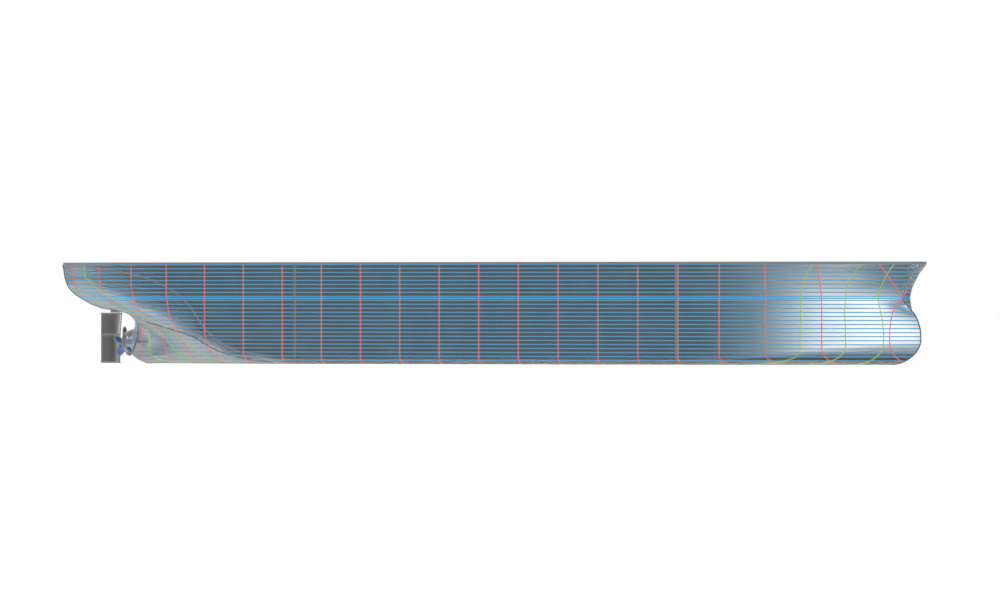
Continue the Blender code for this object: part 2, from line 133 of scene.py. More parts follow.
# Propeller, duct and rudder
BLADES = 5
PITCH_RATIO = 0.75
ROOT_CHORD = 0.10
MIDDLE_CHORD = 0.19
ROOT_THICK = 0.036
TIP_THICK = 0.006
ROOT_SHARE = 0.16       # a blade starts at this share of its radius, inside the hub
PADDLE_SHARE = 0.8      # and from this share it rounds off to its tip
TIP_SHARE = 0.9995
ROOT_RISE = 0.5         # a wide root keeps at least this share of its distance from the shaft
CHORD_LEAN = 1.2        # over 1 the widest part of a blade lies nearer its tip
DUCT_R_AFT = 0.274
DUCT_R_FORE = 0.304
DUCT_Z = 0.545
DUCT_THICK = 0.26       # as a share of the chord
FIN_STATIONS = (0.61, 0.65)
FIN_THICK = 0.014
FIN_ROOT = 0.9          # as a share of the boss's radius
BRACKET_ROOT = 0.95
BRACKET_AFT = 0.53
BRACKET_TOP = 0.82
BOSS_R = 0.11
BOSS_CLEARANCE = 0.004  # round the shaft
BOSS_START = (PROPELLER_X + DUCT_AFT) / 2 + 0.012   # its aft end, inside the duct
BOSS_PROFILE = (        # length from there, radius
    (0.0, BOSS_R - 0.012),
    (0.004, BOSS_R - 0.004),
    (0.014, BOSS_R),
    (0.06, BOSS_R + 0.006),
    (0.14, BOSS_R + 0.028),
    (0.24, BOSS_R + 0.042),
    (0.34, BOSS_R + 0.038),
    (0.46, BOSS_R),
)
RUDDER_THICK = 0.115
TRAIL_HALF = 0.002
LEADING_EDGE = ((0.0, 0.225), (0.6, 0.225), (0.9, 0.255), (1.25, 0.290))   # z, x
FOIL = (0.2969, -0.126, -0.3516, 0.2843, -0.1015)     # coefficients of a standard foil section
FOIL_STEPS = 36
NOSE_POINT = 5          # of foil's points, where the rim down the side of the nose lies
CHAMFER = 0.004         # of the shaft and the stock
HUB_BEVEL = 0.006
CAP_POINT = 0.001       # radius of the hub cap's point
HEADBOX_CORNER = 0.012
HEADBOX_BEVEL = 0.008
HEADBOX_EASE = 0.6      # how much of a corner's length is taken off its width
ROOT_DEPTH = 0.01       # of the headbox and the bracket in the hull
NOSE_RIM = 0.8          # these three as shares of a rim's radius
NOSE_CAP = 0.25
FIN_RIM = 0.7
TUBE_SIDES = 10
SHARP_OVER = 30         # degrees between faces

# Offsets of the run, as half breadths at the stations named in the first line. Each row is one
# waterline: its height, the x where it closes on the centreline, then one half breadth a station.
STATIONS = (-0.47, 0.0, 0.7, 1.4, 2.8, 4.2, 5.6, 7.0)
WATERLINES = (
    (0.000, 0.760, 0, 0, 0, 0.390, 0.750, 1.230, 1.710, 2.240),
    (0.270, 0.720, 0, 0, 0, 0.390, 0.860, 1.420, 1.940, 2.250),
    (0.470, 0.670, 0, 0, 0, 0.390, 0.940, 1.560, 2.110, 2.250),
    (0.670, 0.690, 0, 0, 0, 0.335, 1.010, 1.740, 2.210, 2.250),
    (0.870, 0.775, 0, 0, 0, 0.320, 1.190, 1.910, 2.250, 2.250),
    (1.050, 0.835, 0, 0, 0, 0.380, 1.430, 2.020, 2.250, 2.250),
    (1.200, 0.735, 0, 0, 0, 0.600, 1.670, 2.100, 2.250, 2.250),
    (1.300, 0.400, 0, 0, 0.320, 0.940, 1.790, 2.140, 2.250, 2.250),
    (1.375, -0.100, 0, 0.060, 0.560, 1.140, 1.860, 2.160, 2.250, 2.250),
    (1.425, -0.520, 0.030, 0.200, 0.710, 1.235, 1.900, 2.175, 2.250, 2.250),
    (1.520, -0.800, 0.350, 0.520, 1.000, 1.385, 1.950, 2.190, 2.250, 2.250),
    (1.640, -0.950, 0.640, 0.835, 1.205, 1.565, 2.010, 2.210, 2.250, 2.250),
    (1.780, -1.100, 0.935, 1.110, 1.420, 1.705, 2.050, 2.230, 2.250, 2.250),
    (2.000, -1.300, 1.180, 1.345, 1.590, 1.820, 2.100, 2.230, 2.250, 2.250),
    (2.230, -1.500, 1.275, 1.450, 1.690, 1.875, 2.110, 2.230, 2.250, 2.250),
    (2.500, -1.500, 1.330, 1.480, 1.700, 1.880, 2.110, 2.230, 2.250, 2.250),
)
# The turn of the bilge is a quarter of an ellipse: x, half width, height.
BILGE = (
    (1.40, 0.39, 0.19),
    (2.80, 0.52, 0.23),
    (4.20, 0.54, 0.26),
    (5.60, 0.52, 0.25),
    (7.00, 0.54, 0.29),
    (8.40, 0.22, 0.20),
    (8.85, 0.20, 0.20),
    (22.33, 0.20, 0.20),
    (23.80, 0.44, 0.22),
    (25.20, 0.75, 0.27),
    (26.60, 0.87, 0.40),
    (28.00, 0.91, 0.55),
    (28.63, 0.92, 0.60),
)
KEEL_RISE = ((0.60, 0.30), (HEEL_X, 0.21), (1.00, 0.083), (KEEL_X, 0.0), (2.00, 0.0))   # x, height
# The entrance is a formula. The half breadth of a waterline is
# HALF_BEAM * (1 - s ** fullness) ** (1 / bluntness), where s runs from 0 at ENTRANCE_X to 1 at the stem.
# Each row is one waterline: its height, the x of the stem, fullness, bluntness.
ENTRANCE = (
    (0.000, 28.63, 3.00, 0.83),
    (0.780, 28.63, 3.00, 0.83),
    (1.000, 28.57, 3.05, 0.84),
    (1.200, 28.46, 3.10, 0.88),
    (1.365, 28.28, 3.00, 1.03),
    (1.530, 28.07, 2.75, 1.33),
    (1.650, 28.00, 2.65, 1.44),
    (1.840, 28.05, 2.66, 1.44),
    (2.200, 28.26, 2.58, 1.52),
    (2.500, 28.43, 2.27, 1.91),
)
# Edges of the patches that the hull's surface is made of, as x and height down its side
FLAT_OF_SIDE = (
    (-0.30, 2.50), (0.65, 2.45), (1.55, 2.39), (2.43, 2.31), (3.15, 2.21), (3.94, 2.02), (4.60, 1.76),
    (4.96, 1.52), (5.33, 1.17), (5.65, 0.85), (6.06, 0.57), (6.87, 0.31), (7.90, 0.20),
)
SKEG_PATCH = (
    (0.72, 1.33), (1.37, 1.19), (3.07, 0.98), (4.25, 0.82), (5.10, 0.66), (5.54, 0.47), (5.92, 0.32),
    (6.62, 0.20), (7.05, 0.13), (7.90, 0.03),
)
BOSS_PATCH = ((1.08, 1.00), (1.12, 0.84), (1.13, 0.70), (1.09, 0.55), (0.98, 0.38), (0.84, 0.26))


def column(rows, n):
    """One named column of a table."""
    return [row[n] for row in rows]


def curve(xs, ys):
    """The monotone cubic through the points, as a function of x that holds level past its ends."""
    steps = [b - a for a, b in zip(xs, xs[1:])]
    rises = [(b - a) / h for a, b, h in zip(ys, ys[1:], steps)]
    slopes = [rises[0]]
    for h0, h1, r0, r1 in zip(steps, steps[1:], rises, rises[1:]):
        w0, w1 = 2 * h1 + h0, h1 + 2 * h0
        slopes.append((w0 + w1) / (w0 / r0 + w1 / r1) if r0 * r1 > 0 else 0.0)
    slopes.append(rises[-1])

    def read(x):
        if x <= xs[0]:
            return ys[0]
        if x >= xs[-1]:
            return ys[-1]
        i = bisect_right(xs, x) - 1
        h = steps[i]
        t = (x - xs[i]) / h
        start = (1 + 2 * t) * ys[i] + t * h * slopes[i]
        end = (3 - 2 * t) * ys[i + 1] + (t - 1) * h * slopes[i + 1]
        return (1 - t) ** 2 * start + t * t * end

    return read


def table_curve(rows, n=1):
    """The curve of one column of a table against its first."""
    return curve(column(rows, 0), column(rows, n))


def run_waterline(row):
    """Half breadth along one waterline of the run, against the root of the distance from its end."""
    close = row[1]
    knots = [(0.0, 0.0)]
    for station, breadth in zip(STATIONS, row[2:]):
        if breadth > 0 and station > close:
            knots.append((sqrt(station - close), breadth))
    knots.append((sqrt(RUN_END_X - close), HALF_BEAM))
    return table_curve(knots)


LEVELS = column(WATERLINES, 0)
RUN_CLOSE = table_curve(WATERLINES)
RUN_LINES = [run_waterline(row) for row in WATERLINES]
BILGE_WIDTH, BILGE_HEIGHT = (table_curve(BILGE, n) for n in (1, 2))
KEEL_HEIGHT = table_curve(KEEL_RISE)
STEM_X, FULLNESS, BLUNTNESS = (table_curve(ENTRANCE, n) for n in (1, 2, 3))
RUDDER_NOSE = table_curve(LEADING_EDGE)
BOSS_RADIUS = table_curve(BOSS_PROFILE)


def run_breadth(x, z):
    """Half breadth of the run, before the turn of the bilge is taken off."""
    close = RUN_CLOSE(z)
    share = (x - close) / (RUN_END_X - close)
    if share <= 0:
        return 0.0
    i = min(max(bisect_right(LEVELS, z) - 1, 0), len(LEVELS) - 2)
    near = range(max(i - 1, 0), min(i + 3, len(LEVELS)))
    breadths = [RUN_LINES[k](sqrt(share * (RUN_END_X - WATERLINES[k][1]))) for k in near]
    return curve([LEVELS[k] for k in near], breadths)(z)


def entrance_breadth(x, z):
    """Half breadth of the entrance, before the turn of the bilge is taken off."""
    share = (x - ENTRANCE_X) / (STEM_X(z) - ENTRANCE_X)
    if share >= 1:
        return 0.0
    return HALF_BEAM * (1 - share ** FULLNESS(z)) ** (1 / BLUNTNESS(z))


@cache
def half_breadth(x, z):
    """Half breadth of the hull at x and height z, never under the bar's half width."""
    if x < RUN_END_X:
        breadth = run_breadth(x, z)
    elif x > ENTRANCE_X:
        breadth = entrance_breadth(x, z)
    else:
        breadth = HALF_BEAM
    width = breadth if x < BILGE[0][0] else BILGE_WIDTH(x)
    drop = min(1.0, 1 - (z - KEEL_HEIGHT(x)) / BILGE_HEIGHT(x))
    if drop > 0:
        breadth -= width * (1 - sqrt(1 - drop * drop))
    return max(BAR, breadth)


def halve(low, high, inside):
    """The value between low and high where inside turns from true to false, by halving."""
    while abs(high - low) > CLOSE:
        middle = (low + high) / 2
        if inside(middle):
            low = middle
        else:
            high = middle
    return low


@cache
def fore_end(z):
    """The x where the waterline at z comes down to the bar at the stem."""
    return halve(FORE_PEAK_X, CLEAR_X, lambda x: half_breadth(x, z) > BAR)


@cache
def aft_end(z):
    """The x where the waterline at z comes down to the bar at the stern, or the transom's."""
    return halve(STERN_X, TRANSOM_X, lambda x: half_breadth(x, z) > BAR)


@cache
def counter_height(x, y=0.0):
    """Height of the counter's bottom at x and half breadth y."""
    return halve(COUNTER_HIGH, SKEG_TOP, lambda z: run_breadth(x, z) > y)


def spread(start, end, count):
    """Evenly spaced values from start to end."""
    return [start + (end - start) * k / count for k in range(count + 1)]


def toward(start, end, count, crowd):
    """Values from start to end that lie closer together at the start as crowd grows over 1."""
    return [start + (end - start) * (k / count) ** crowd for k in range(count + 1)]


# Meshes


def add_object(name, data):
    made = bpy.data.objects.new(name, data)
    bpy.context.scene.collection.objects.link(made)
    return made


def add_piece(name, bm, material, body, slot=None, replaces=()):
    """Shifts a bmesh from the aft perpendicular into the frame and makes it a piece that rides."""
    if not bm.faces:
        raise RuntimeError(f"{name} has no faces")
    bmesh.ops.recalc_face_normals(bm, faces=bm.faces)
    bmesh.ops.translate(bm, verts=bm.verts, vec=(AP_X, 0.0, 0.0))
    mesh = bpy.data.meshes.new(name)
    bm.to_mesh(mesh)
    bm.free()
    mesh.materials.append(material)
    mesh.shade_smooth()
    mesh.set_sharp_from_angle(angle=radians(SHARP_OVER))
    piece = add_object(name, mesh)
    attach(piece, body)
    if replaces:
        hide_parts(*replaces)


def loft(bm, loops, closed=False):
    """Joins closed loops of equal length, with a cap at each end or the last loop joined to the first."""
    rings = [[bm.verts.new(point) for point in loop] for loop in loops]
    ahead = rings[1:] + rings[:1] if closed else rings[1:]
    for ring, after in zip(rings, ahead):
        for k in range(len(ring)):
            n = (k + 1) % len(ring)
            bm.faces.new((ring[k], ring[n], after[n], after[k]))
    if not closed:
        bm.faces.new(rings[0][::-1])
        bm.faces.new(rings[-1])


def add_solid(name, loops, *settings):
    """Makes the solid through the loops a piece, with what add_piece takes after the bmesh."""
    bm = bmesh.new()
    loft(bm, loops)
    add_piece(name, bm, *settings)


def both_sides(port):
    """The closed outline of a port curve and its mirror image."""
    return port + [(x, -y, z) for x, y, z in reversed(port)]


def pointed(path, closed=False):
    """Each point of a path with the direction of the path there."""
    points = [Vector(point) for point in path]
    before = [points[-1 if closed else 0]] + points[:-1]
    after = points[1:] + [points[0 if closed else -1]]
    return [(point, (b - a).normalized()) for point, a, b in zip(points, before, after)]


def tube(bm, path, radius, closed=False):
    """A round bar along a path, capped at its ends or closed on itself."""
    across = None
    loops = []
    for point, along in pointed(path, closed):
        if across is None:
            across = along.orthogonal()
        across = (across - along * across.dot(along)).normalized()
        up = along.cross(across)
        ring = [across * cos(t) + up * sin(t) for t in turns(TUBE_SIDES)]
        loops.append([point + out * radius for out in ring])
    loft(bm, loops, closed=closed)


def turns(steps):
    """Evenly spaced angles once round."""
    return [tau * k / steps for k in range(steps)]


def circle(x, radius, z, steps=96):
    """Points round a circle about a line along the hull at height z."""
    return [(x, radius * cos(t), z + radius * sin(t)) for t in turns(steps)]


def turned(profile):
    """The loops of a solid turned about the shaft's line. The profile is a list of x and radius."""
    return [circle(x, radius, SHAFT_Z, steps=64) for x, radius in profile]


# Materials

ROUGHNESS = 0.55        # of the hull's paint and of its lines
METALLIC = 1.0
SHEEN = 0.05            # the share of a line's colour that the lamps light
PEEL_DEPTH = 0.0002
MARK_DEPTH = 0.0003
FINISH_SWING = 0.08     # how much the roughness varies
MARK_SWING = 0.12


def drawing():
    """The settings of the drawn lines."""
    return bpy.context.scene.carrier_lines


def node_group(name, inputs, outputs):
    """A node group with number sockets, and its input, coordinate and output nodes."""
    made = bpy.data.node_groups.new(name, "ShaderNodeTree")
    for label, default in inputs.items():
        socket = made.interface.new_socket(label, in_out="INPUT", socket_type="NodeSocketFloat")
        socket.default_value = default
    for label in outputs:
        made.interface.new_socket(label, in_out="OUTPUT", socket_type="NodeSocketFloat")
    kinds = ("NodeGroupInput", "ShaderNodeTexCoord", "NodeGroupOutput")
    return made, *(made.nodes.new(kind) for kind in kinds)


def set_values(node, **values):
    """Sets a node's properties and its sockets' values by name."""
    for name, value in values.items():
        if hasattr(node, name):
            setattr(node, name, value)
        else:
            node.inputs[name.replace("_", " ")].default_value = value


def add_node(tree, kind, **values):
    node = tree.nodes.new(kind)
    set_values(node, **values)
    return node


def join(source, output, target, socket):
    """Links an output of one node to an input of another in the same tree."""
    source.id_data.links.new(source.outputs[output], target.inputs[socket])


def math_node(tree, operation, a, b):
    """The result of an operation on two values, each a number or a socket."""
    node = add_node(tree, "ShaderNodeMath", operation=operation)
    for socket, value in zip(node.inputs, (a, b)):
        if isinstance(value, (int, float)):
            socket.default_value = value
        else:
            tree.links.new(value, socket)
    return node.outputs[0]


def varied(tree, factor, swing, middle):
    """A value that swings about its middle as a texture's factor does about a half."""
    offset = math_node(tree, "SUBTRACT", factor, 0.5)
    return math_node(tree, "ADD", math_node(tree, "MULTIPLY", offset, swing), middle)


@cache
def sprayed_coat():
    """Sprayed paint: broad drifts of tone, a fine orange peel, and a finish that varies a little."""
    numbers = {"Drift": 0.04, "Patch Scale": 1.5, "Peel Scale": 180.0, "Roughness": 0.5}
    tree, given, place, out = node_group("sprayed_coat", numbers, ("Roughness", "Height"))
    grey = tree.interface.new_socket("Color", in_out="INPUT", socket_type="NodeSocketColor")
    grey.default_value = (0.5, 0.5, 0.5, 1.0)
    tree.interface.new_socket("Color", in_out="OUTPUT", socket_type="NodeSocketColor")
    patches = add_node(tree, "ShaderNodeTexNoise", Detail=4.0)
    peel = add_node(tree, "ShaderNodeTexNoise", Detail=2.0)
    for noise, scale in ((patches, "Patch Scale"), (peel, "Peel Scale")):
        join(place, "Object", noise, "Vector")
        join(given, scale, noise, "Scale")
    tone = varied(tree, patches.outputs["Fac"], given.outputs["Drift"], 1.0)
    rough = varied(tree, patches.outputs["Fac"], FINISH_SWING, given.outputs["Roughness"])
    tinted = add_node(tree, "ShaderNodeVectorMath", operation="SCALE")
    join(given, "Color", tinted, 0)
    tree.links.new(tone, tinted.inputs["Scale"])
    join(tinted, 0, out, "Color")
    join(peel, "Fac", out, "Height")
    tree.links.new(rough, out.inputs["Roughness"])
    return tree


@cache
def turned_metal():
    """Metal with the fine tool marks that a lathe leaves, as rings about the shaft's line."""
    numbers = {"Mark Scale": 90.0, "Roughness": 0.4}
    tree, given, place, out = node_group("turned_metal", numbers, ("Roughness", "Height"))
    marks = add_node(tree, "ShaderNodeTexWave", bands_direction="X", Distortion=1.5, Detail=3.0)
    join(place, "Object", marks, "Vector")
    join(given, "Mark Scale", marks, "Scale")
    rough = varied(tree, marks.outputs["Fac"], MARK_SWING, given.outputs["Roughness"])
    join(marks, "Fac", out, "Height")
    tree.links.new(rough, out.inputs["Roughness"])
    return tree


def colour_of(name):
    """The colour of a setting."""
    return getattr(bpy.context.scene.carrier_colours, name)


def coated(name, shown_by, **values):
    """A material with the sprayed coat, whose colour goes to the named input of its shader."""
    made = bpy.data.materials.new(name)
    made.use_nodes = True
    tree = made.node_tree
    shader = tree.nodes["Principled BSDF"]
    coat = add_node(tree, "ShaderNodeGroup", node_tree=sprayed_coat(), Color=(*colour_of(name), 1.0))
    set_values(coat, **values)
    join(coat, "Color", shader, shown_by)
    return made, shader, coat


def raise_surface(shader, surface, depth, strength=1.0):
    """Gives a shader the roughness and the raised detail of a group's node."""
    bump = add_node(shader.id_data, "ShaderNodeBump", Distance=depth, Strength=strength)
    join(surface, "Height", bump, "Height")
    join(surface, "Roughness", shader, "Roughness")
    join(bump, "Normal", shader, "Normal")


@cache
def painted(name, roughness=ROUGHNESS, metal=METALLIC, patch=1.5, peel=180.0, depth=PEEL_DEPTH, ior=1.5):
    """A sprayed finish in the colour of its setting, with metal flake."""
    values = {"Drift": 0.05, "Patch_Scale": patch, "Peel_Scale": peel, "Roughness": roughness}
    made, shader, coat = coated(name, "Base Color", **values)
    raise_surface(shader, coat, depth)
    set_values(shader, Metallic=metal, IOR=ior)
    return made


@cache
def bare_steel():
    """Machined steel, for what is turned."""
    made, shader, _ = coated("bare_steel", "Base Color", Drift=0.08, Patch_Scale=14.0)
    marks = add_node(made.node_tree, "ShaderNodeGroup", node_tree=turned_metal())
    raise_surface(shader, marks, MARK_DEPTH, strength=0.6)
    set_values(shader, Metallic=0.85)
    return made


@cache
def drawn(name):
    """A line's colour, which glows by itself as in a drawing, a painted light though it is no lamp, and
    takes a little of the hull's sheen.
    """
    values = {"Drift": 0.06, "Patch_Scale": 3.0, "Peel_Scale": 240.0, "Roughness": ROUGHNESS}
    made, shader, coat = coated(name, "Emission Color", **values)
    raise_surface(shader, coat, PEEL_DEPTH)
    sheen = [SHEEN * part for part in colour_of(name)]
    # The emission makes the line glow with its own painted light, which no lamp gives, at the glow
    # setting's strength.
    set_values(shader, Base_Color=(*sheen, 1.0), Metallic=METALLIC, Emission_Strength=drawing().glow)
    return made


# Hull skins

TURN_STEPS = 14
SIDE_STEPS = 26
SECTION_STEP = 0.08
SKIN = "_skin"


def side_levels(x):
    """Heights up a section that lie close together at the foot of the turn of the bilge."""
    turn = BILGE_HEIGHT(x)
    foot = [turn * (1 - cos(pi / 2 * k / TURN_STEPS)) for k in range(TURN_STEPS + 1)]
    return foot + spread(turn, DECK_LOW - GAP, SIDE_STEPS)[1:]


def section(x, levels):
    return [(x, half_breadth(x, z), z) for z in levels]


def hull_skin(node, loops):
    add_solid(node + SKIN, loops, painted("hull_paint"), "hull", "hull_paint", [node])


def block_skin(node):
    """The skin of a full depth block, between the bulkheads that the frame gives."""
    start, end = ends_of(node)
    straight = start > RUN_END_X - SECTION_STEP and end < ENTRANCE_X + SECTION_STEP
    count = 1 if straight else ceil((end - start) / SECTION_STEP)
    hull_skin(node, [both_sides(section(x, side_levels(x))) for x in spread(start, end, count)])


def counter_levels(x):
    low = max(SKEG_TOP + GAP, counter_height(x))
    return toward(low, DECK_LOW - GAP, 44, 1.5)


def counter_skin():
    xs = spread(TRANSOM_X, STERN_X - GAP / 2, 36)
    hull_skin("aft_peak_counter", [both_sides(section(x, counter_levels(x))) for x in xs])


def waterline(z, blunt_x, fine_x, count):
    """The port side of a waterline from the flat end at blunt_x to the fine end at fine_x."""
    return [(x, half_breadth(x, z), z) for x in toward(fine_x, blunt_x, count, 2)[::-1]]


def skeg_skin():
    levels = toward(SKEG_START, SKEG_FOOT, 12, 1.6) + spread(SKEG_FOOT, SKEG_TOP - GAP, 40)[1:]
    start = STERN_X - GAP / 2
    hull_skin("stern_skeg", [both_sides(waterline(z, start, aft_end(z), 26)) for z in levels])


def boss_breadth(x, z):
    """Half breadth of the stern tube boss at x and height z, 0 beside it."""
    if not 0 <= x - BOSS_START <= BOSS_PROFILE[-1][0]:
        return 0.0
    return sqrt(max(0.0, BOSS_RADIUS(x - BOSS_START) ** 2 - (z - SHAFT_Z) ** 2))


def boss_skin():
    """The boss that the shaft leaves the skeg through, which swells a little where it joins."""
    profile = [(BOSS_START, SHAFT_R + BOSS_CLEARANCE)]
    profile += [(BOSS_START + along, radius) for along, radius in BOSS_PROFILE]
    add_solid("stern_tube_boss" + SKIN, turned(profile), painted("hull_paint"), "hull", "hull_paint")


def bow_skin(node, levels):
    start = FORE_PEAK_X + GAP / 2
    hull_skin(node, [both_sides(waterline(z, start, fore_end(z), 44)) for z in levels])


def bow_skins():
    """The bulbous bow up to the design waterline, and the flared fore peak above it."""
    bulb = toward(0.0, BOW_FOOT, 20, 2) + spread(BOW_FOOT, DESIGN_DRAUGHT - GAP / 2, 28)[1:]
    bow_skin("bulbous_bow", bulb)
    bow_skin("fore_peak", spread(DESIGN_DRAUGHT + GAP / 2, DECK_LOW - GAP, 24))


def deck_length(node):
    """One length of the level deck, as wide as the hull's edge, up to the frame's own bulkheads."""
    start, end = ends_of(node)
    count = ceil((end - start) / SECTION_STEP)
    xs = toward(end, start, count, 2)[::-1] if node == "deck_fore" else spread(start, end, count)
    port = [(x, half_breadth(x, DECK_TOP)) for x in xs]
    loops = [both_sides([(x, y, z) for x, y in port]) for z in (DECK_LOW, DECK_TOP)]
    deck = painted("deck_paint", roughness=0.6, metal=0.2, peel=60.0, depth=0.0006)
    add_solid(f"{node}_plating", loops, deck, "hull", "deck_paint", [node])


# Drawn lines

DRAWN_RIGHT = Vector((sqrt(0.5), sqrt(0.5), 0.0))   # to the right as the drawing shows the hull
WIDEST = 2.6            # a line that turns away from the drawing's side is at most this much wider
END_ON = 0.05           # a line shows less than this of its length when it points at the drawing's eye
LAYERS = 4              # kinds of line that cross each other
PAINT_DEPTH = 0.0005    # of the lowest line under the flat of the keel
BOSS_LINE_X = BOSS_START + 0.02       # waterlines start here on the boss
BOSS_LINE_HALF = 0.03   # where the boss is wider than this
AFT_SHORT = 0.002       # how far the other waterlines stop short of the stern
FORE_SHORT = 0.0002     # and all of them of the stem
FOOT_RADIUS = 0.01      # of the bar along the edge of the bottom
FOOT_SHORT = 0.02       # how far it stops short of the stem
EDGE_CLEAR = 0.001      # how far stations and buttocks keep in from the stem and the transom
BUTTOCK_START = 0.003   # their lowest point over the keel
STATION_FOOT = 0.6      # stations at the bow have their points closer together under this height
TRANSOM_START = 0.002   # the bars of the transom start this far over the counter's bottom
DECK_PROUD = 3          # the deck's edge stands out this many times as far as a line
MIRROR = Vector((1, -1, 1))
WALL_WIDTH = 0.05       # a bulkhead's face is wider than this
WALL_FACING = 0.9       # and its normal lies at least this much along the hull


def is_wall(mesh, face):
    """Whether a face is part of a bulkhead: an end cap, or a quad across the hull that faces along it."""
    sides = [mesh.vertices[k].co.y for k in face.vertices]
    across = max(sides) - min(sides) > WALL_WIDTH and min(sides) < 0 < max(sides)
    return len(face.vertices) > 4 or (across and abs(face.normal.x) > WALL_FACING)


@cache
def hull_tree():
    """The outer faces of the hull skins, for laying lines on."""
    verts, faces = [], []
    for piece in bpy.context.scene.objects:
        if piece.name.endswith(SKIN):
            start = len(verts)
            verts += [vert.co - Vector((AP_X, 0.0, 0.0)) for vert in piece.data.vertices]
            outer = [face for face in piece.data.polygons if not is_wall(piece.data, face)]
            faces += [[start + k for k in face.vertices] for face in outer]
    if not faces:
        raise RuntimeError("the hull's skins come before its lines")
    return BVHTree.FromPolygons(verts, faces)


def laid(point):
    """The nearest place on the hull, and the normal there."""
    return hull_tree().find_nearest(point)[:2]


def spread_width(width, along, across):
    """The width on the surface that shows as the given width from the drawing's side."""
    seen_along = Vector((along.dot(DRAWN_RIGHT), along.z))
    seen_across = Vector((across.dot(DRAWN_RIGHT), across.z))
    if seen_along.length < END_ON:
        return width
    share = abs(seen_along.normalized().cross(seen_across))
    return width / max(share, 1 / WIDEST)


def line(bm, path, width, layer=0):
    """A thin closed band laid on the hull along a path down the starboard side, and its image to port.

    Each kind of line lies a layer over the kind before it, so that lines cross cleanly. Under the
    flat of the keel they are as thin as paint, as the hull stands there.
    """
    proud = drawing().proud * (1 + layer / LAYERS)
    foot = -PAINT_DEPTH * (1 + layer)
    loops = []
    for point, along in pointed(path):
        place, normal = laid(point)
        across = along.cross(normal).normalized()
        reach = across * spread_width(width, along, across) / 2
        edges = [laid(place - reach), laid(place + reach)]
        top = [edge + out * proud for edge, out in edges]
        top = [Vector((x, y, max(z, foot))) for x, y, z in top]
        low = [edge - out * proud for edge, out in reversed(edges)]
        loops.append(top + low)
    loft(bm, loops)
    loft(bm, [[point * MIRROR for point in loop] for loop in loops])


def add_lines(name, colour, paths, width, layer):
    """Lays a line along each path, as one piece."""
    bm = bmesh.new()
    for path in paths:
        line(bm, path, width, layer)
    add_piece(name, bm, drawn(colour), "hull")


def waterline_path(z):
    """A waterline down the starboard side, with points close together at both ends."""
    on_boss = boss_breadth(BOSS_LINE_X, z) > BOSS_LINE_HALF
    aft = toward(BOSS_LINE_X if on_boss else aft_end(z) + AFT_SHORT, STERN_X, 24, 1.5)
    run = spread(STERN_X, RUN_END_X, 74)[1:]
    entrance = spread(ENTRANCE_X, FORE_PEAK_X, 44)
    fore = toward(fore_end(z) - FORE_SHORT, FORE_PEAK_X, 34, 2)[::-1][1:]
    return [(x, -max(half_breadth(x, z), boss_breadth(x, z)), z) for x in aft + run + entrance + fore]


def transom_bar(bm, z, width):
    """A waterline straight across the transom."""
    proud = drawing().proud
    reach = half_breadth(TRANSOM_X, z)
    if reach > width:
        across = [(-proud, -width / 2), (-proud, width / 2), (proud, width / 2), (proud, -width / 2)]
        loft(bm, [[(TRANSOM_X + x, y, z + h) for x, h in across] for y in (-reach, reach)])


def waterlines():
    lines = drawing()
    even = [k * lines.waterline_step for k in range(1, int(DECK_LOW / lines.waterline_step) + 1)]
    for name, paint, heights, width in (
        ("waterline_bands", "waterline_blue", even, lines.waterline_width),
        ("design_waterline_band", "design_blue", [DESIGN_DRAUGHT], lines.design_width),
    ):
        bm = bmesh.new()
        for z in heights:
            line(bm, waterline_path(z), width)
            transom_bar(bm, z, width)
        add_piece(name, bm, drawn(paint), "hull")


def station_paths(x):
    """A station from the keel up the starboard side, in two stretches where it crosses the stem."""
    if x < FORE_PEAK_X:
        levels = side_levels(x) if x >= STERN_X else counter_levels(x)
        side = [(x, -half_breadth(x, z), z) for z in levels]
        return [[(x, 0.0, side[0][2])] + side] if half_breadth(x, levels[0]) > BAR else [side]
    stretches = [[]]
    for z in toward(0.0, STATION_FOOT, 30, 2) + spread(STATION_FOOT, DECK_LOW, 70)[1:]:
        if fore_end(z) > x + EDGE_CLEAR:
            stretches[-1].append((x, -half_breadth(x, z), z))
        elif stretches[-1]:
            stretches.append([])
    return [stretch for stretch in stretches if len(stretch) > 2]


def stations():
    step = drawing().station_step
    paths = []
    for k in range(ceil(CLEAR_X / step)):
        paths += station_paths(round(k * step, 4))
    add_lines("station_bands", "station_pink", paths, drawing().station_width, layer=2)


def buttock_x(y, z, clear):
    """The x where the hull is y wide at height z, between the middle body and a clear end."""
    full = ENTRANCE_X if clear > ENTRANCE_X else RUN_END_X
    return halve(full, clear, lambda x: half_breadth(x, z) > y)


def buttocks():
    """Each buttock runs down the stern, along the flat of the bottom and up the bow."""
    levels = toward(BUTTOCK_START, DECK_LOW, 110, 1.6)
    paths = []
    for y in (HALF_BEAM * k / 4 for k in (1, 2, 3)):
        aft = [(buttock_x(y, z, aft_end(z)), -y, z) for z in levels]
        aft = [point for point in aft if point[0] > TRANSOM_X + EDGE_CLEAR]
        fore = [(buttock_x(y, z, fore_end(z)), -y, z) for z in levels]
        paths.append(aft[::-1] + [(RUN_END_X, -y, 0.0), (ENTRANCE_X, -y, 0.0)] + fore)
    add_lines("buttock_bands", "buttock_green", paths, drawing().buttock_width, layer=3)


def edge_path(table):
    """A patch edge down the starboard side, along the smooth curve through its table."""
    height = table_curve(table)
    xs = spread(table[0][0], table[-1][0], 60)
    return [(x, -half_breadth(x, height(x)), height(x)) for x in xs]


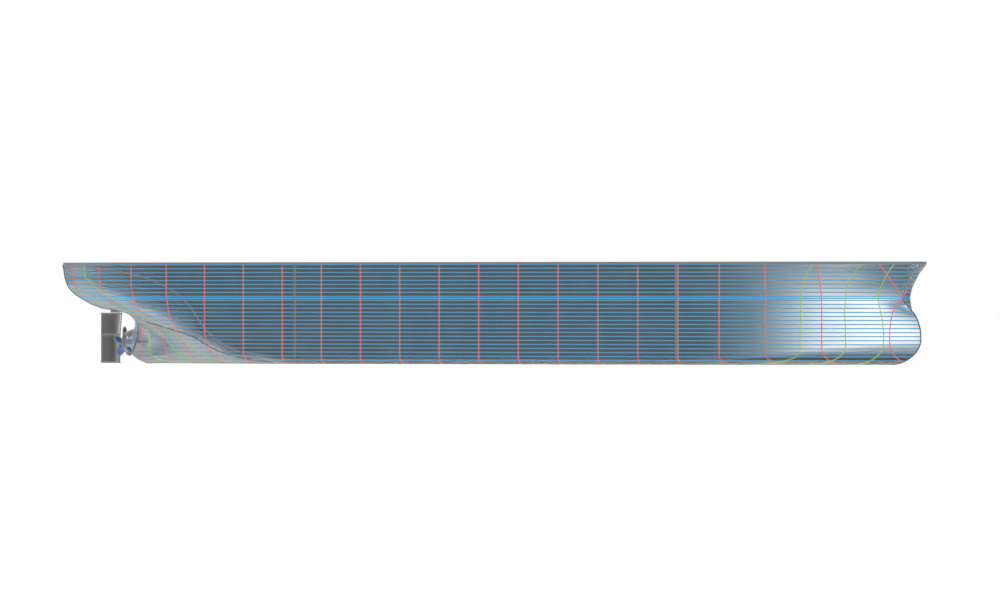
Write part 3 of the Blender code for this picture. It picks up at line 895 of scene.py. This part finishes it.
def patch_edges():
    """Grey edges where one patch of the hull's surface meets the next."""
    width = drawing().edge_width
    bm = bmesh.new()
    line(bm, edge_path(FLAT_OF_SIDE), width, layer=1)
    for x in (RUN_END_X, ENTRANCE_X):
        line(bm, station_paths(x)[0], width, layer=1)
    along = spread(STERN_X, fore_end(FOOT_RADIUS) - FOOT_SHORT, 200)
    for side in (1, -1):
        tube(bm, [(x, side * half_breadth(x, FOOT_RADIUS), FOOT_RADIUS) for x in along], FOOT_RADIUS)
    add_piece("side_edge_bands", bm, drawn("edge_grey"), "hull")
    heights = column(BOSS_PATCH, 1)
    along = curve(heights[::-1], column(BOSS_PATCH, 0)[::-1])
    boss = [(along(z), -half_breadth(along(z), z), z) for z in spread(heights[0], heights[-1], 30)]
    add_lines("skeg_edge_bands", "profile_grey", [edge_path(SKEG_PATCH), boss], width, layer=1)


def profile_edges():
    """Round bars down the centreline: up the stem and bulb, and along the counter and stern frame."""
    radius = drawing().bar_radius
    bulb = [(fore_end(z), 0.0, max(z, radius)) for z in toward(0.0, DESIGN_DRAUGHT, 70, 1.3)]
    stem = [(fore_end(z), 0.0, z) for z in spread(DESIGN_DRAUGHT, DECK_LOW, 30)]
    counter = [(x, 0.0, counter_height(x)) for x in spread(TRANSOM_X, aft_end(SKEG_TOP), 40)]
    frame_edge = [(aft_end(z), 0.0, z) for z in spread(SKEG_TOP, KEEL_HEIGHT(HEEL_X), 40)]
    keel = [(x, 0.0, max(KEEL_HEIGHT(x), radius)) for x in spread(HEEL_X + 0.02, KEEL_X, 20)]
    levels = toward(counter_height(TRANSOM_X) + TRANSOM_START, DECK_LOW, 60, 1.5)
    transom = [(TRANSOM_X, half_breadth(TRANSOM_X, z), z) for z in levels]
    for name, paint, share, paths in (
        ("bulb_bar", "profile_grey", 1.0, [bulb]),
        ("stem_bar", "edge_grey", 1.2, [stem]),
        ("stern_frame_bar", "profile_grey", 1.3, [counter + frame_edge[1:] + keel]),
        ("transom_bars", "profile_grey", 1.3, [transom, [(x, -y, z) for x, y, z in transom]]),
    ):
        bm = bmesh.new()
        for path in paths:
            tube(bm, path, radius * share)
        add_piece(name, bm, drawn(paint), "hull")


def deck_edge():
    """A flat bar round the edge of the deck."""
    lines = drawing()
    fore = toward(fore_end(DECK_TOP), ENTRANCE_X, 80, 2)[::-1]
    xs = spread(TRANSOM_X, ENTRANCE_X, 160) + fore[1:]
    port = [(x, half_breadth(x, DECK_TOP), 0.0) for x in xs]
    low = Vector((0, 0, DECK_LOW - lines.proud))
    high = Vector((0, 0, DECK_TOP + lines.proud * DECK_PROUD))
    loops = []
    for point, along in pointed(both_sides(port), closed=True):
        out = Vector((-along.y, along.x, 0.0))
        outer, inner = point + out * lines.proud, point - out * lines.edge_width
        loops.append([outer + low, outer + high, inner + high, inner + low])
    bm = bmesh.new()
    loft(bm, loops, closed=True)
    add_piece("deck_edge_band", bm, drawn("edge_grey"), "hull")


# Stern gear


def headbox():
    """The fixed box under the counter that the rudder stock turns in, with its edges outlined."""
    rim = drawing().rim_radius
    corner, bevel = HEADBOX_CORNER, HEADBOX_BEVEL
    ends = [corner * (1 - cos(a)) for a in (0.0, 0.8)]
    xs = [HEADBOX_AFT + end for end in ends]
    xs += spread(HEADBOX_AFT + corner, HEADBOX_FORE - corner, 10)
    xs += [HEADBOX_FORE - end for end in reversed(ends)]
    loops = []
    for x in xs:
        inset = max(0.0, corner - min(x - HEADBOX_AFT, HEADBOX_FORE - x))
        half = HEADBOX_HALF - inset * HEADBOX_EASE
        top = counter_height(x, HEADBOX_HALF) + ROOT_DEPTH
        port = [(x, half - bevel, HEADBOX_LOW), (x, half, HEADBOX_LOW + bevel), (x, half, top)]
        loops.append(both_sides(port))
    paint = painted("rudder_paint")
    add_solid("headbox_shell", loops, paint, "hull", "rudder_paint", ["rudder_headbox"])
    bm = bmesh.new()
    reach = HEADBOX_HALF - rim / 2
    low = HEADBOX_LOW + rim
    corners = [(HEADBOX_AFT, reach), (HEADBOX_FORE, reach), (HEADBOX_FORE, -reach), (HEADBOX_AFT, -reach)]
    for (x, y), (next_x, next_y) in zip(corners, corners[1:] + corners[:1]):
        tube(bm, [(x, y, low), (next_x, next_y, low)], rim)
        tube(bm, [(x, y, low), (x, y, counter_height(x, HEADBOX_HALF) + rim)], rim)
    add_piece("headbox_rims", bm, drawn("edge_grey"), "hull")


def foil(z):
    """The closed outline of the rudder at height z, with a blunt trailing edge."""
    lead = RUDDER_NOSE(z)
    side = []
    for k in range(FOIL_STEPS + 1):
        s = (1 - cos(pi * k / FOIL_STEPS)) / 2
        shape = sum(part * s**power for part, power in zip(FOIL, (0.5, 1, 2, 3, 4)))
        side.append((lead + (RUDDER_TRAIL - lead) * s, max(5 * RUDDER_THICK * shape, TRAIL_HALF), z))
    return both_sides(side)


def nose_cap(bm, heights, proud):
    """A thin cap wrapped round the nose of the foil, from the rim on one side to the rim on the other."""
    loops = []
    for z in heights:
        inner = foil(z)[NOSE_POINT::-1]
        widest = inner[0][1]
        outer = [(x + proud * (1 - y / widest), y + proud * y / widest, z) for x, y, z in inner]
        loops.append(both_sides(outer) + both_sides(inner)[::-1])
    loft(bm, loops)


def rudder():
    """Two foil blades on one stock, with a rim round each edge as the drawing outlines them."""
    rim = drawing().rim_radius
    parts = (
        ("rudder_blade_lower", RUDDER_BOTTOM, RUDDER_SEAM, 12),
        ("rudder_blade_upper", RUDDER_SEAM + GAP, RUDDER_TOP, 14),
    )
    for node, low, high, count in parts:
        loops = [foil(z) for z in spread(low, high, count)]
        paint = painted("rudder_paint", patch=4.0)
        add_solid(f"{node}_skin_plate", loops, paint, "rudder", "rudder_paint", [node])
    bm = bmesh.new()
    for z in (RUDDER_BOTTOM + rim, RUDDER_SEAM, RUDDER_TOP - rim):
        tube(bm, foil(z), rim, closed=True)
    heights = spread(RUDDER_BOTTOM + rim, RUDDER_TOP - rim, 24)
    tube(bm, [(RUDDER_TRAIL + rim / 2, 0.0, z) for z in heights], rim)
    tube(bm, [(RUDDER_NOSE(z) - rim / 2, 0.0, z) for z in heights], rim)
    nose = [foil(z)[NOSE_POINT] for z in heights]
    for side in (1, -1):
        tube(bm, [(x, side * (y - rim / 2), z) for x, y, z in nose], rim * NOSE_RIM)
    nose_cap(bm, [z for z in heights if z < RUDDER_SEAM], rim * NOSE_CAP)
    add_piece("rudder_rims", bm, drawn("edge_grey"), "rudder")
    levels = ((STOCK_LOW, STOCK_R), (STOCK_TOP - CHAMFER, STOCK_R), (STOCK_TOP, STOCK_R - CHAMFER))
    loops = [[(r * cos(t), r * sin(t), z) for t in turns(48)] for z, r in levels]
    add_solid("rudder_stock_bar", loops, bare_steel(), "rudder", "bare_steel", ["rudder_stock"])


def fin(start, end):
    """The outline of a fin on edge from start to end, with rounded edges, as x and half thickness."""
    half = FIN_THICK / 2
    angles = spread(-pi / 2, pi / 2, 8)
    fore = [(end - half + half * cos(a), half * sin(a)) for a in angles]
    aft = [(start + half - half * cos(a), half * sin(-a)) for a in angles]
    return fore + aft


def duct():
    """The ring ahead of the propeller, wider at its leading edge, with the fins that carry it."""
    rim = drawing().rim_radius
    chord = DUCT_FORE - DUCT_AFT
    flare = DUCT_R_FORE - DUCT_R_AFT
    outline = []
    for angle in turns(32):
        along = (1 - cos(angle)) / 2
        thick = DUCT_THICK / 2 * chord * sin(angle) * sqrt(along)
        outline.append((DUCT_AFT + chord * along, DUCT_R_AFT + flare * along + thick))
    bm = bmesh.new()
    rings = [[(x, r * cos(t), DUCT_Z + r * sin(t)) for x, r in outline] for t in turns(96)]
    loft(bm, rings, closed=True)
    sides = [(side * BOSS_R * FIN_ROOT, side * DUCT_R_AFT) for side in (1, -1)]
    for ends in sides:
        loft(bm, [[(x, y, SHAFT_Z + h) for x, h in fin(*FIN_STATIONS)] for y in ends])
    heights = spread(SHAFT_Z + BOSS_R * BRACKET_ROOT, BRACKET_TOP, 10)
    loft(bm, [[(x, h, z) for x, h in fin(BRACKET_AFT, aft_end(z) + ROOT_DEPTH)] for z in heights])
    add_piece("duct_ring_shell", bm, painted("duct_grey", patch=6.0), "hull", "bare_steel", ["duct_ring"])
    bm = bmesh.new()
    for x, radius in ((DUCT_AFT + rim / 2, DUCT_R_AFT), (DUCT_FORE - rim / 2, DUCT_R_FORE)):
        tube(bm, circle(x, radius, DUCT_Z), rim, closed=True)
    tube(bm, [(BRACKET_AFT, 0.0, z) for z in heights], rim)
    for ends in sides:
        for x in FIN_STATIONS:
            tube(bm, [(x, y, SHAFT_Z) for y in ends], rim * FIN_RIM)
    add_piece("duct_rims", bm, drawn("edge_grey"), "hull")


def blade_chord(share):
    """Chord of a propeller blade at a share of the way from the shaft's line to the tip."""
    swell = sin(pi * min(share, PADDLE_SHARE) ** CHORD_LEAN)
    full = ROOT_CHORD + (MIDDLE_CHORD - ROOT_CHORD) * swell
    past = max(0.0, (share - PADDLE_SHARE) / (1 - PADDLE_SHARE))
    return full * sqrt(max(0.0, 1 - past**2))


def blade_point(radius, along, across, angle):
    """A point of a blade, along its chord and across it, at its pitch and turned about the shaft."""
    pitch = atan2(PITCH_RATIO * 2 * PROPELLER_R, tau * radius)
    x = along * sin(pitch) + across * cos(pitch)
    y = across * sin(pitch) - along * cos(pitch)
    z = sqrt(max(radius**2 - y**2, (ROOT_RISE * radius) ** 2))
    c, s = cos(angle), sin(angle)
    return (PROPELLER_X + x, y * c - z * s, SHAFT_Z + y * s + z * c)


def propeller_blades():
    """Five twisted blades with rounded paddle tips, each with a rim round its edge."""
    rim = drawing().rim_radius
    reach = PROPELLER_R - rim
    tip = [PADDLE_SHARE + (1 - PADDLE_SHARE) * sin(a) for a in spread(0.0, pi / 2, 12)[1:-1]]
    shares = spread(ROOT_SHARE, PADDLE_SHARE, 12) + tip + [TIP_SHARE]
    rims = bmesh.new()
    for k, angle in enumerate(turns(BLADES)):
        loops, fore, aft = [], [], []
        for share in shares:
            radius = reach * share
            half = blade_chord(share) / 2
            thick = ROOT_THICK + (TIP_THICK - ROOT_THICK) * share
            edge = [(half * cos(t), thick / 2 * sin(t)) for t in turns(24)]
            loops.append([blade_point(radius, along, across, angle) for along, across in edge])
            fore.append(blade_point(radius, half, 0.0, angle))
            aft.append(blade_point(radius, -half, 0.0, angle))
        name = f"propeller_blade_{k + 1}"
        paint = painted("blade_paint", roughness=0.42, metal=0.5, patch=9.0, peel=400.0, ior=1.8)
        add_solid(f"{name}_face", loops, paint, "propeller", "blade_paint", [name])
        tube(rims, fore + aft[::-1], rim)
    add_piece("propeller_blade_rims", rims, drawn("edge_grey"), "propeller")


def propeller_hub():
    """The hub, its cap and the shaft, all turned."""
    # How far in from the end and from the side
    edge = ((0.0, HUB_BEVEL), (0.3 * HUB_BEVEL, 0.3 * HUB_BEVEL), (HUB_BEVEL, 0.0))
    hub = [(HUB_AFT + end, HUB_R - side) for end, side in edge]
    hub += [(HUB_FORE - end, HUB_R - side) for end, side in reversed(edge)]
    long = HUB_AFT - GAP - CAP_AFT
    wide = HUB_R - HUB_BEVEL
    quarter = spread(0.0, pi / 2, 12)
    cap = [(CAP_AFT + long * (1 - cos(a)), CAP_POINT + wide * sin(a)) for a in quarter]
    shaft = [(HUB_FORE + GAP, SHAFT_R), (SHAFT_END - CHAMFER, SHAFT_R), (SHAFT_END, SHAFT_R - CHAMFER)]
    for name, profile, node in (
        ("propeller_hub_body", hub, "propeller_hub"),
        ("hub_cap_cone", cap, "hub_cap"),
        ("tail_shaft_bar", shaft, "tail_shaft"),
    ):
        add_solid(name, turned(profile), bare_steel(), "propeller", "bare_steel", [node])


# The studio

VIEW_AZIMUTH = 45
SENSOR = 36.0
PIXELS_ACROSS = 1000
PIXELS_A_METRE = 39.85      # across the line of sight
FRAME_WIDTH = PIXELS_ACROSS / PIXELS_A_METRE
EYE_HEIGHT = 1.608
SIDEWAYS = -0.12
FLOOR_Z = -0.004
FLOOR_HALF = 1500.0
WHITE = (1.0, 1.0, 1.0, 1.0)
# Name, azimuth and elevation that it shines from, strength
SUNS = (
    ("beam_fore", 20, 0, 1.25),
    ("bow_level", 55, 0, 1.0),
    ("bow_high", 45, 20, 1.15),
    ("ahead", 90, 0, 0.8),
    ("ahead_high", 90, 30, 0.5),
    ("port_bow_low", 150, -30, 0.4),
    ("beam_under", 15, -45, 0.52),
    ("astern", -90, 0, 0.3),
    ("astern_low", -90, -30, 0.4),
    ("port_stern_low", -120, -30, 0.2),
    ("port_quarter_low", -150, -30, 1.0),
    ("behind_high", -135, 60, 3.4),
)


def studio():
    """The settings of the camera and the light."""
    return bpy.context.scene.carrier_studio


def direction(azimuth, elevation):
    """The way towards something seen at this azimuth and elevation. 0 is to starboard, 90 ahead."""
    a, e = radians(azimuth), radians(elevation)
    return Vector((sin(a) * cos(e), -cos(a) * cos(e), sin(e)))


def white_world():
    """A white backdrop for the camera, with a little even light for the hull."""
    settings = studio()
    world = bpy.data.worlds.new("white_studio")
    world.use_nodes = True
    bpy.context.scene.world = world
    tree = world.node_tree
    tree.nodes.clear()
    seen = add_node(tree, "ShaderNodeBackground", Color=WHITE, Strength=settings.backdrop)
    cast = add_node(tree, "ShaderNodeBackground", Color=WHITE, Strength=settings.ambient)
    path = add_node(tree, "ShaderNodeLightPath")
    mix = add_node(tree, "ShaderNodeMixShader")
    out = add_node(tree, "ShaderNodeOutputWorld")
    join(path, "Is Camera Ray", mix, "Fac")
    join(cast, 0, mix, 1)
    join(seen, 0, mix, 2)
    join(mix, 0, out, "Surface")


def studio_floor():
    bm = bmesh.new()
    bmesh.ops.create_grid(bm, x_segments=2, y_segments=2, size=FLOOR_HALF)
    mesh = bpy.data.meshes.new("studio_floor")
    bm.to_mesh(mesh)
    bm.free()
    mesh.materials.append(painted("floor_white", roughness=0.9, metal=0.0, patch=0.05))
    floor = add_object("studio_floor", mesh)
    floor.location.z = FLOOR_Z
    floor.visible_shadow = False
    floor.visible_diffuse = False
    floor.visible_glossy = False


def studio_lights():
    for name, azimuth, elevation, strength in SUNS:
        light = bpy.data.lights.new(name, "SUN")
        light.energy = strength
        light.angle = studio().softness
        light.use_shadow = False
        sun = add_object(name, light)
        sun.rotation_euler = direction(azimuth, elevation).to_track_quat("Z", "Y").to_euler()


def studio_camera():
    camera = bpy.data.cameras.new("camera")
    camera.lens = studio().lens
    camera.sensor_width = SENSOR
    back = direction(VIEW_AZIMUTH, 0)
    distance = FRAME_WIDTH * camera.lens / SENSOR
    right = Vector((-back.y, back.x, 0.0))
    eye = add_object("camera", camera)
    eye.location = right * SIDEWAYS + Vector((0, 0, EYE_HEIGHT)) + back * distance
    eye.rotation_euler = back.to_track_quat("Z", "Y").to_euler()
    camera.clip_start = distance / 10
    camera.clip_end = distance * 3
    bpy.context.scene.camera = eye


# Settings


def colour(name, description, default):
    return bpy.props.FloatVectorProperty(
        name=name, description=description, subtype="COLOR", size=3, min=0.0, max=1.0, default=default)


def length(name, description, default):
    return bpy.props.FloatProperty(
        name=name, description=description, unit="LENGTH", min=0.0, precision=4, default=default)


class CarrierColours(bpy.types.PropertyGroup):
    """Colours of the hull, its lines and its gear"""

    hull_paint: colour("Hull", "Grey paint of the shell", (0.45, 0.45, 0.45))
    deck_paint: colour("Deck", "Grey paint of the main deck", (0.16, 0.16, 0.16))
    rudder_paint: colour("Rudder", "Grey paint of the rudder and its headbox", (0.45, 0.45, 0.45))
    duct_grey: colour("Duct", "Grey paint of the duct ring and its fins", (0.45, 0.45, 0.45))
    bare_steel: colour("Steel", "Machined steel of the hub and shaft", (0.45, 0.45, 0.45))
    blade_paint: colour("Blades", "Blue of the propeller blades", (0.012, 0.075, 0.24))
    waterline_blue: colour("Waterlines", "Blue of the waterlines", (0.09, 0.335, 0.57))
    design_blue: colour("Design waterline", "Blue of the design waterline", (0.092, 0.39, 0.69))
    station_pink: colour("Stations", "Pink of the stations", (0.74, 0.17, 0.18))
    buttock_green: colour("Buttocks", "Green of the buttocks", (0.32, 0.51, 0.10))
    edge_grey: colour("Edges", "Grey of the patch edges and rims", (0.215, 0.215, 0.215))
    profile_grey: colour("Profile", "Dark grey of the stem and stern frame", (0.13, 0.13, 0.13))
    floor_white: colour("Floor", "White of the studio floor", (0.9, 0.9, 0.9))


class CarrierLines(bpy.types.PropertyGroup):
    """Widths and spacing of the drawn lines"""

    waterline_width: length("Waterline width", "Width of a waterline as the drawing shows it", 0.0265)
    design_width: length("Design waterline width", "Width of the design waterline as drawn", 0.034)
    station_width: length("Station width", "Width of a station as the drawing shows it", 0.025)
    buttock_width: length("Buttock width", "Width of a buttock as the drawing shows it", 0.025)
    edge_width: length("Edge width", "Width of a patch edge as the drawing shows it", 0.034)
    proud: length("Proud", "How far the lowest lines stand out of the skin", 0.003)
    bar_radius: length("Bar radius", "Radius of the bars down the centreline", 0.016)
    rim_radius: length("Rim radius", "Radius of the rims of the rudder, duct and blades", 0.019)
    waterline_step: length("Waterlines", "Height between waterlines", 0.1)
    station_step: length("Stations", "Length between stations", 1.4)
    # Strength of the lines' emission: they glow with a painted light of their own, though they are no
    # lamps.
    glow: bpy.props.FloatProperty(
        name="Glow", description="How much a line shows by itself", subtype="FACTOR",
        min=0.0, default=0.95)


class CarrierStudio(bpy.types.PropertyGroup):
    """The camera's lens and the studio's light"""

    lens: bpy.props.FloatProperty(
        name="Lens", description="Focal length in millimetres", unit="CAMERA", default=1000.0)
    ambient: bpy.props.FloatProperty(
        name="Ambient", description="Strength of the room's even light", min=0.0, default=0.008)
    backdrop: bpy.props.FloatProperty(
        name="Backdrop", description="Brightness of the backdrop", min=0.0, default=1.0)
    softness: bpy.props.FloatProperty(
        name="Softness", description="Angle that each lamp fills", unit="ROTATION", default=0.15)


# Operators


class CARRIER_OT_counter(bpy.types.Operator):
    """Skin the counter over the rudder, with the transom"""

    bl_idname = "carrier.counter"
    bl_label = "Counter"

    def execute(self, context):
        counter_skin()
        return {"FINISHED"}


class CARRIER_OT_skeg(bpy.types.Operator):
    """Skin the stern skeg and turn the boss that the shaft leaves it through"""

    bl_idname = "carrier.skeg"
    bl_label = "Skeg and boss"

    def execute(self, context):
        skeg_skin()
        boss_skin()
        return {"FINISHED"}


class CARRIER_OT_blocks(bpy.types.Operator):
    """Skin the engine room block and the nine hold blocks"""

    bl_idname = "carrier.blocks"
    bl_label = "Hull blocks"

    def execute(self, context):
        for node in frame["nodes"]:
            if node.startswith("hold_block") or node == "engine_room_block":
                block_skin(node)
        return {"FINISHED"}


class CARRIER_OT_bow(bpy.types.Operator):
    """Skin the bulbous bow and the flared fore peak"""

    bl_idname = "carrier.bow"
    bl_label = "Bow"

    def execute(self, context):
        bow_skins()
        return {"FINISHED"}


class CARRIER_OT_deck(bpy.types.Operator):
    """Lay the main deck in three lengths, with the flat bar round its edge"""

    bl_idname = "carrier.deck"
    bl_label = "Deck"

    def execute(self, context):
        for node in ("deck_aft", "deck_midships", "deck_fore"):
            deck_length(node)
        deck_edge()
        return {"FINISHED"}


class CARRIER_OT_waterlines(bpy.types.Operator):
    """Lay the blue waterlines and the design waterline on the hull"""

    bl_idname = "carrier.waterlines"
    bl_label = "Waterlines"

    def execute(self, context):
        waterlines()
        return {"FINISHED"}


class CARRIER_OT_stations(bpy.types.Operator):
    """Lay the pink stations on the hull"""

    bl_idname = "carrier.stations"
    bl_label = "Stations"

    def execute(self, context):
        stations()
        return {"FINISHED"}


class CARRIER_OT_buttocks(bpy.types.Operator):
    """Lay the green buttocks on the hull"""

    bl_idname = "carrier.buttocks"
    bl_label = "Buttocks"

    def execute(self, context):
        buttocks()
        return {"FINISHED"}


class CARRIER_OT_edges(bpy.types.Operator):
    """Lay the grey patch edges, and the bars at the stem and the stern frame"""

    bl_idname = "carrier.edges"
    bl_label = "Edges"

    def execute(self, context):
        patch_edges()
        profile_edges()
        return {"FINISHED"}


class CARRIER_OT_rudder(bpy.types.Operator):
    """Make the rudder's two blades, its stock and the headbox it turns in"""

    bl_idname = "carrier.rudder"
    bl_label = "Rudder"

    def execute(self, context):
        headbox()
        rudder()
        return {"FINISHED"}


class CARRIER_OT_duct(bpy.types.Operator):
    """Make the duct ring with its fins and bracket"""

    bl_idname = "carrier.duct"
    bl_label = "Duct"

    def execute(self, context):
        duct()
        return {"FINISHED"}


class CARRIER_OT_propeller(bpy.types.Operator):
    """Make the propeller's hub, cap, shaft and five blades"""

    bl_idname = "carrier.propeller"
    bl_label = "Propeller"

    def execute(self, context):
        propeller_hub()
        propeller_blades()
        return {"FINISHED"}


class CARRIER_OT_stage(bpy.types.Operator):
    """Set up the white studio, its lamps and the camera"""

    bl_idname = "carrier.stage"
    bl_label = "Stage"

    def execute(self, context):
        context.scene.view_settings.view_transform = "Standard"
        white_world()
        studio_floor()
        studio_lights()
        studio_camera()
        return {"FINISHED"}


OPERATORS = (
    CARRIER_OT_counter, CARRIER_OT_skeg, CARRIER_OT_blocks, CARRIER_OT_bow, CARRIER_OT_deck,
    CARRIER_OT_waterlines, CARRIER_OT_stations, CARRIER_OT_buttocks, CARRIER_OT_edges,
    CARRIER_OT_rudder, CARRIER_OT_duct, CARRIER_OT_propeller, CARRIER_OT_stage,
)
SETTINGS = (
    ("carrier_colours", CarrierColours),
    ("carrier_lines", CarrierLines),
    ("carrier_studio", CarrierStudio),
)


class CARRIER_PT_sidebar(bpy.types.Panel):
    """Lists the steps that build the hull, and their settings"""

    bl_idname = "CARRIER_PT_sidebar"
    bl_label = "Bulk Carrier Hull"
    bl_space_type = "VIEW_3D"
    bl_region_type = "UI"
    bl_category = "Hull"

    def draw(self, context):
        for operator in OPERATORS:
            self.layout.operator(operator.bl_idname)
        for name, group in SETTINGS:
            box = self.layout.box()
            for setting in group.__annotations__:
                box.prop(getattr(context.scene, name), setting)


def register():
    for name, group in SETTINGS:
        bpy.utils.register_class(group)
        setattr(bpy.types.Scene, name, bpy.props.PointerProperty(type=group))
    for cls in (*OPERATORS, CARRIER_PT_sidebar):
        bpy.utils.register_class(cls)


def unregister():
    for cls in (CARRIER_PT_sidebar, *reversed(OPERATORS)):
        bpy.utils.unregister_class(cls)
    for name, group in reversed(SETTINGS):
        delattr(bpy.types.Scene, name)
        bpy.utils.unregister_class(group)


def main():
    register()
    carrier = bpy.ops.carrier
    carrier.counter()
    carrier.skeg()
    carrier.blocks()
    carrier.bow()
    carrier.deck()
    carrier.waterlines()
    carrier.stations()
    carrier.buttocks()
    carrier.edges()
    carrier.rudder()
    carrier.duct()
    carrier.propeller()
    carrier.stage()


if __name__ == "__main__":
    main()
